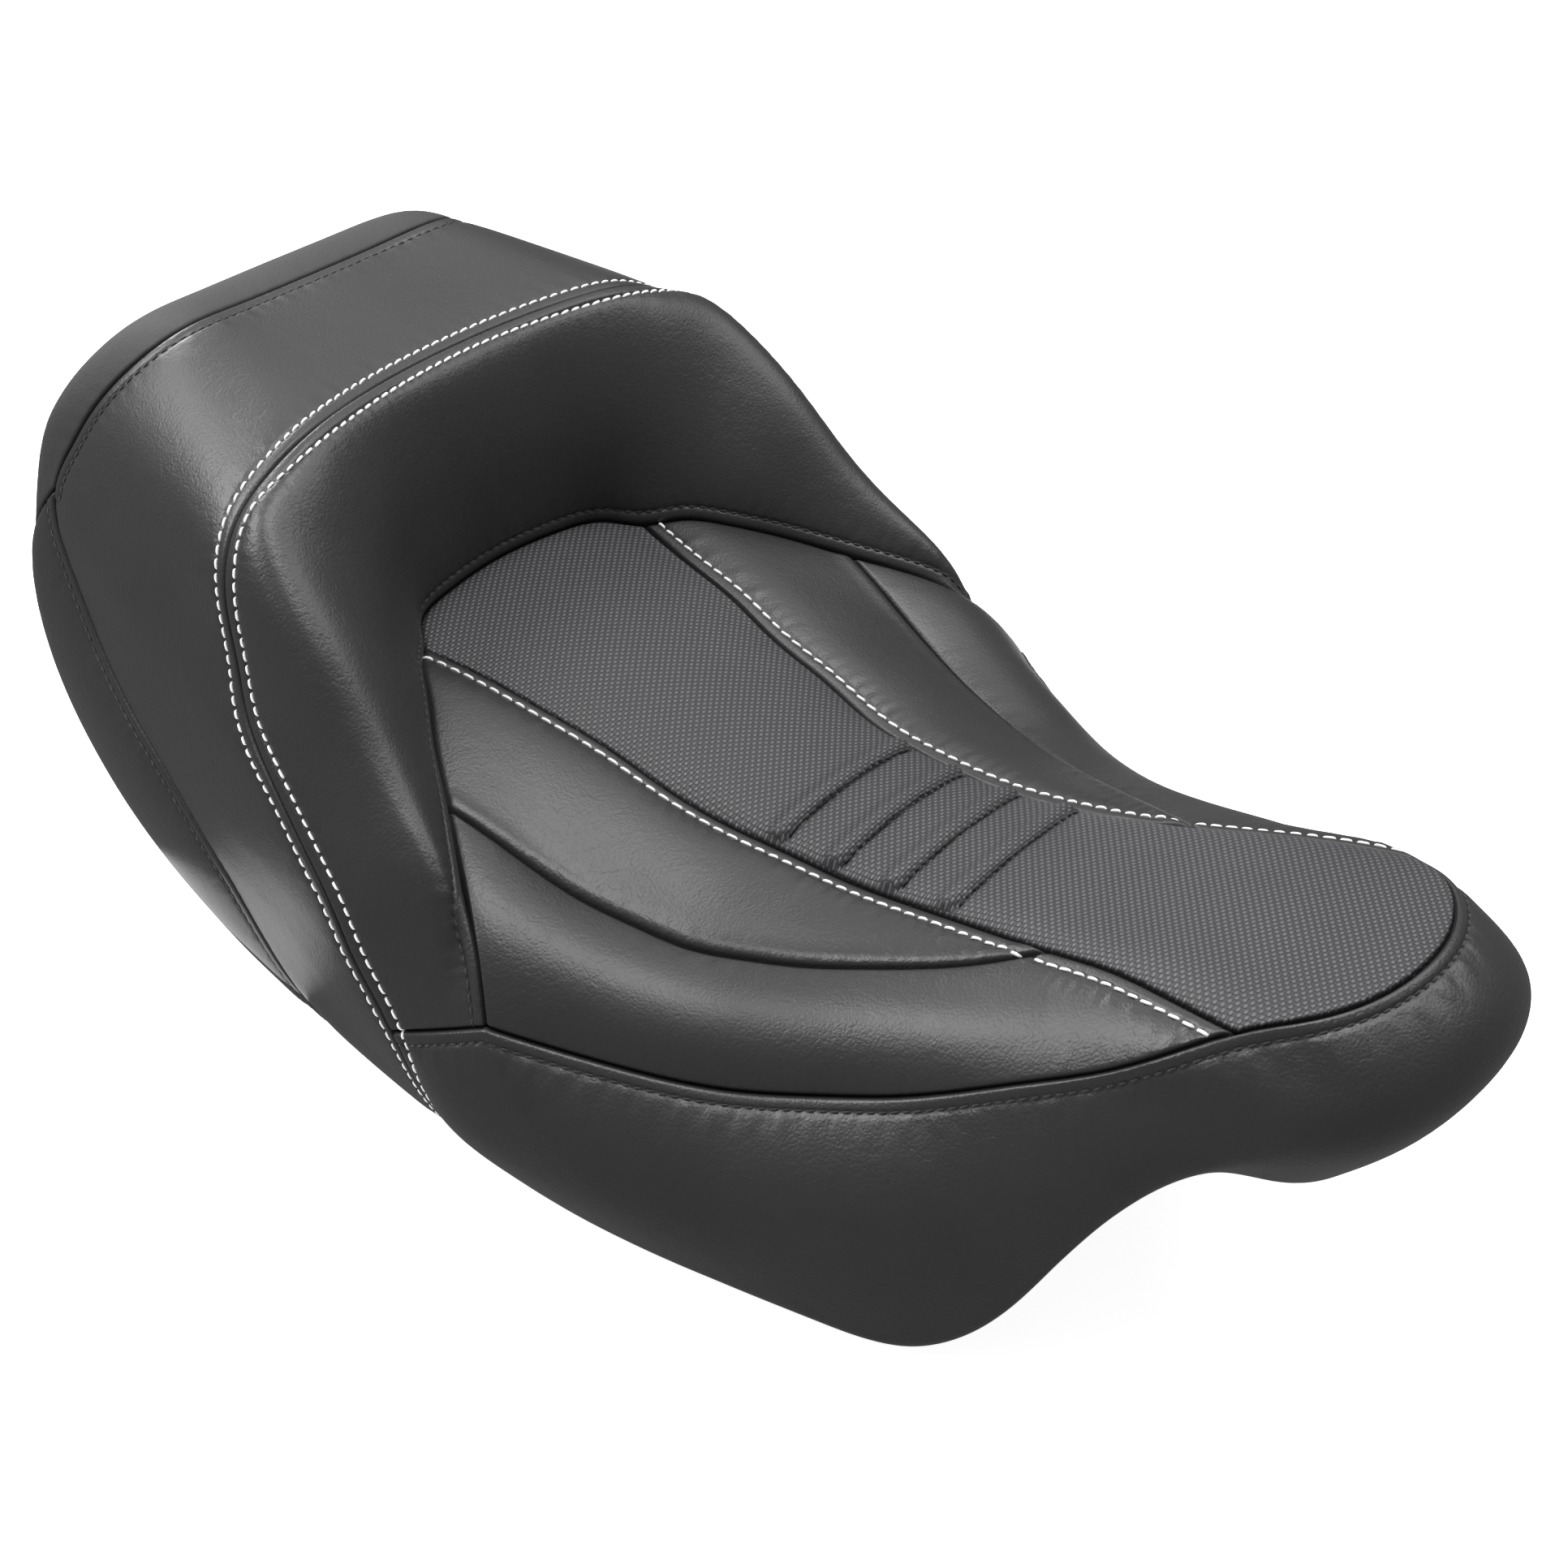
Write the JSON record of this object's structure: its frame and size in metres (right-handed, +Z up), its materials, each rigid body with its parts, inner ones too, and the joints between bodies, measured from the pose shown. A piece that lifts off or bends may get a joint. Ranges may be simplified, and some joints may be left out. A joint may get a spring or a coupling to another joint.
{
  "type": "motorcycle solo seat",
  "caption": "Low solo motorcycle seat with a raised rear bolster, a basket-weave centre insert and white-stitched vinyl side panels over foam on a moulded base pan.",
  "frame": {"origin": "middle of the bounding box's base: the plane that the skirt's hem stands on", "axes": "+X forward to the nose, +Y to the rider's left, +Z up"},
  "size_m": [0.6895, 0.384, 0.2712],
  "materials": {
    "smooth_vinyl": "fine-grained black vinyl, satin",
    "basket_weave_vinyl": "black vinyl embossed with a small basket weave",
    "moulded_foam": "moulded polyurethane foam with a skin",
    "moulded_plastic": "fine texture",
    "rubber": "matt",
    "zinc_plated_steel": "bright zinc plate",
    "black_steel": "black powder coat"
  },
  "bodies": {
    "root": {"cover_insert": "basket_weave_vinyl", "cover_inner_left": "smooth_vinyl", "cover_inner_right": "smooth_vinyl", "cover_outer_left": "smooth_vinyl", "cover_outer_right": "smooth_vinyl", "cover_skirt": "smooth_vinyl", "cover_bolster": "smooth_vinyl", "cover_rear_cap": "smooth_vinyl", "cover_gusset_left": "smooth_vinyl", "cover_gusset_right": "smooth_vinyl", "cover_rear": "smooth_vinyl", "foam_bun": "moulded_foam", "base_pan": "moulded_plastic", "front_tongue": "black_steel", "rear_tab": "zinc_plated_steel", "front_rivet_1": "zinc_plated_steel", "front_rivet_2": "zinc_plated_steel", "front_rivet_3": "zinc_plated_steel", "front_rivet_4": "zinc_plated_steel", "rear_rivet_1": "zinc_plated_steel", "rear_rivet_2": "zinc_plated_steel", "rear_rivet_3": "zinc_plated_steel", "rear_rivet_4": "zinc_plated_steel", "staple_left_01": "zinc_plated_steel", "staple_left_02": "zinc_plated_steel", "staple_left_03": "zinc_plated_steel", "staple_left_04": "zinc_plated_steel", "staple_left_05": "zinc_plated_steel", "staple_left_06": "zinc_plated_steel", "staple_left_07": "zinc_plated_steel", "staple_left_08": "zinc_plated_steel", "staple_left_09": "zinc_plated_steel", "staple_left_10": "zinc_plated_steel", "staple_left_11": "zinc_plated_steel", "staple_left_12": "zinc_plated_steel", "staple_right_01": "zinc_plated_steel", "staple_right_02": "zinc_plated_steel", "staple_right_03": "zinc_plated_steel", "staple_right_04": "zinc_plated_steel", "staple_right_05": "zinc_plated_steel", "staple_right_06": "zinc_plated_steel", "staple_right_07": "zinc_plated_steel", "staple_right_08": "zinc_plated_steel", "staple_right_09": "zinc_plated_steel", "staple_right_10": "zinc_plated_steel", "staple_right_11": "zinc_plated_steel", "staple_right_12": "zinc_plated_steel", "bumper_left_1": "rubber", "bumper_left_2": "rubber", "bumper_left_3": "rubber", "bumper_right_1": "rubber", "bumper_right_2": "rubber", "bumper_right_3": "rubber"}
  },
  "joints": []
}
